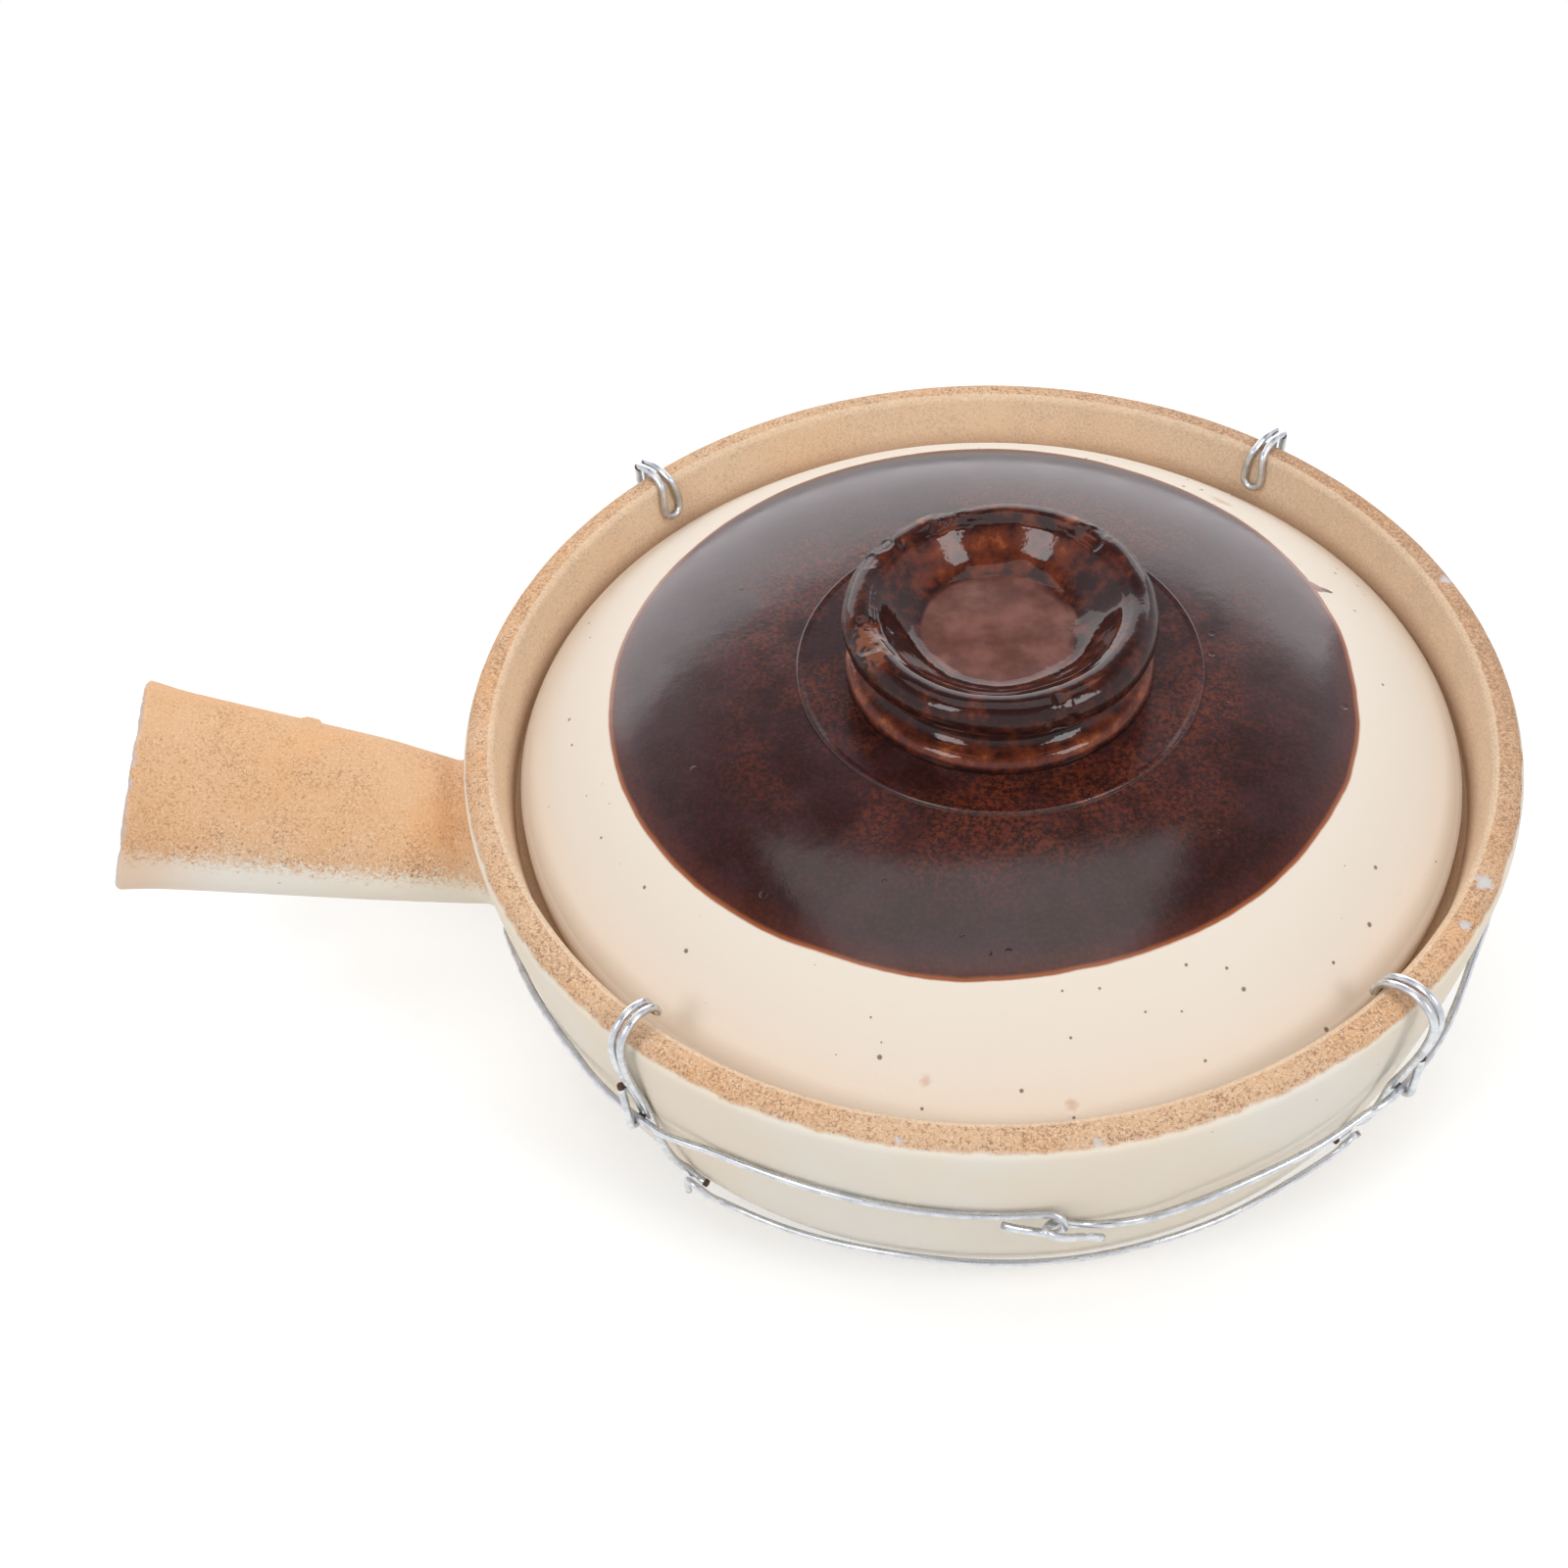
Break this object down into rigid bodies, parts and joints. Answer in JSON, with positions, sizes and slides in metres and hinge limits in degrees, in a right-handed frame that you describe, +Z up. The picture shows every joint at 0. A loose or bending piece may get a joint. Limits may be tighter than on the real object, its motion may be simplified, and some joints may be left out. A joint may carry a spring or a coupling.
{
  "type": "chinese sand pot",
  "caption": "Low round clay stovetop pot with a hollow side handle, a domed glazed lid with a cup-shaped knob, and a cage of hooked wire round its wall.",
  "frame": {"origin": "centre of the pot's flat base, on the pot's axis", "axes": "+Z up along the pot's axis, -X along the side handle, +Y towards the side away from the hoop's clasp"},
  "size_m": [0.3242, 0.2434, 0.1079],
  "materials": {
    "sand_clay": "unglazed, fine sandy surface with dark specks, sandy orange on the rim and the handle and pale cream on the wall",
    "brown_glaze": "glossy dark brown glaze over cream clay, orange brown where it is thin",
    "galvanised_wire": "dull zinc grey with rusty cut ends"
  },
  "bodies": {
    "pot": {"pot_body": "sand_clay", "handle": "sand_clay", "upper_hoop": "galvanised_wire", "tie_wire_front": "galvanised_wire", "tie_wire_back": "galvanised_wire", "rim_hook_front_left": "galvanised_wire", "rim_hook_front_right": "galvanised_wire", "rim_hook_back_left": "galvanised_wire", "rim_hook_back_right": "galvanised_wire"},
    "lid": {"lid": "brown_glaze", "lid_knob": "brown_glaze"}
  },
  "joints": [
    {"name": "lid_lift", "type": "slide", "parent": "pot", "child": "lid", "axis": [0, 0, 1], "range_m": [0, 0.12]}
  ]
}
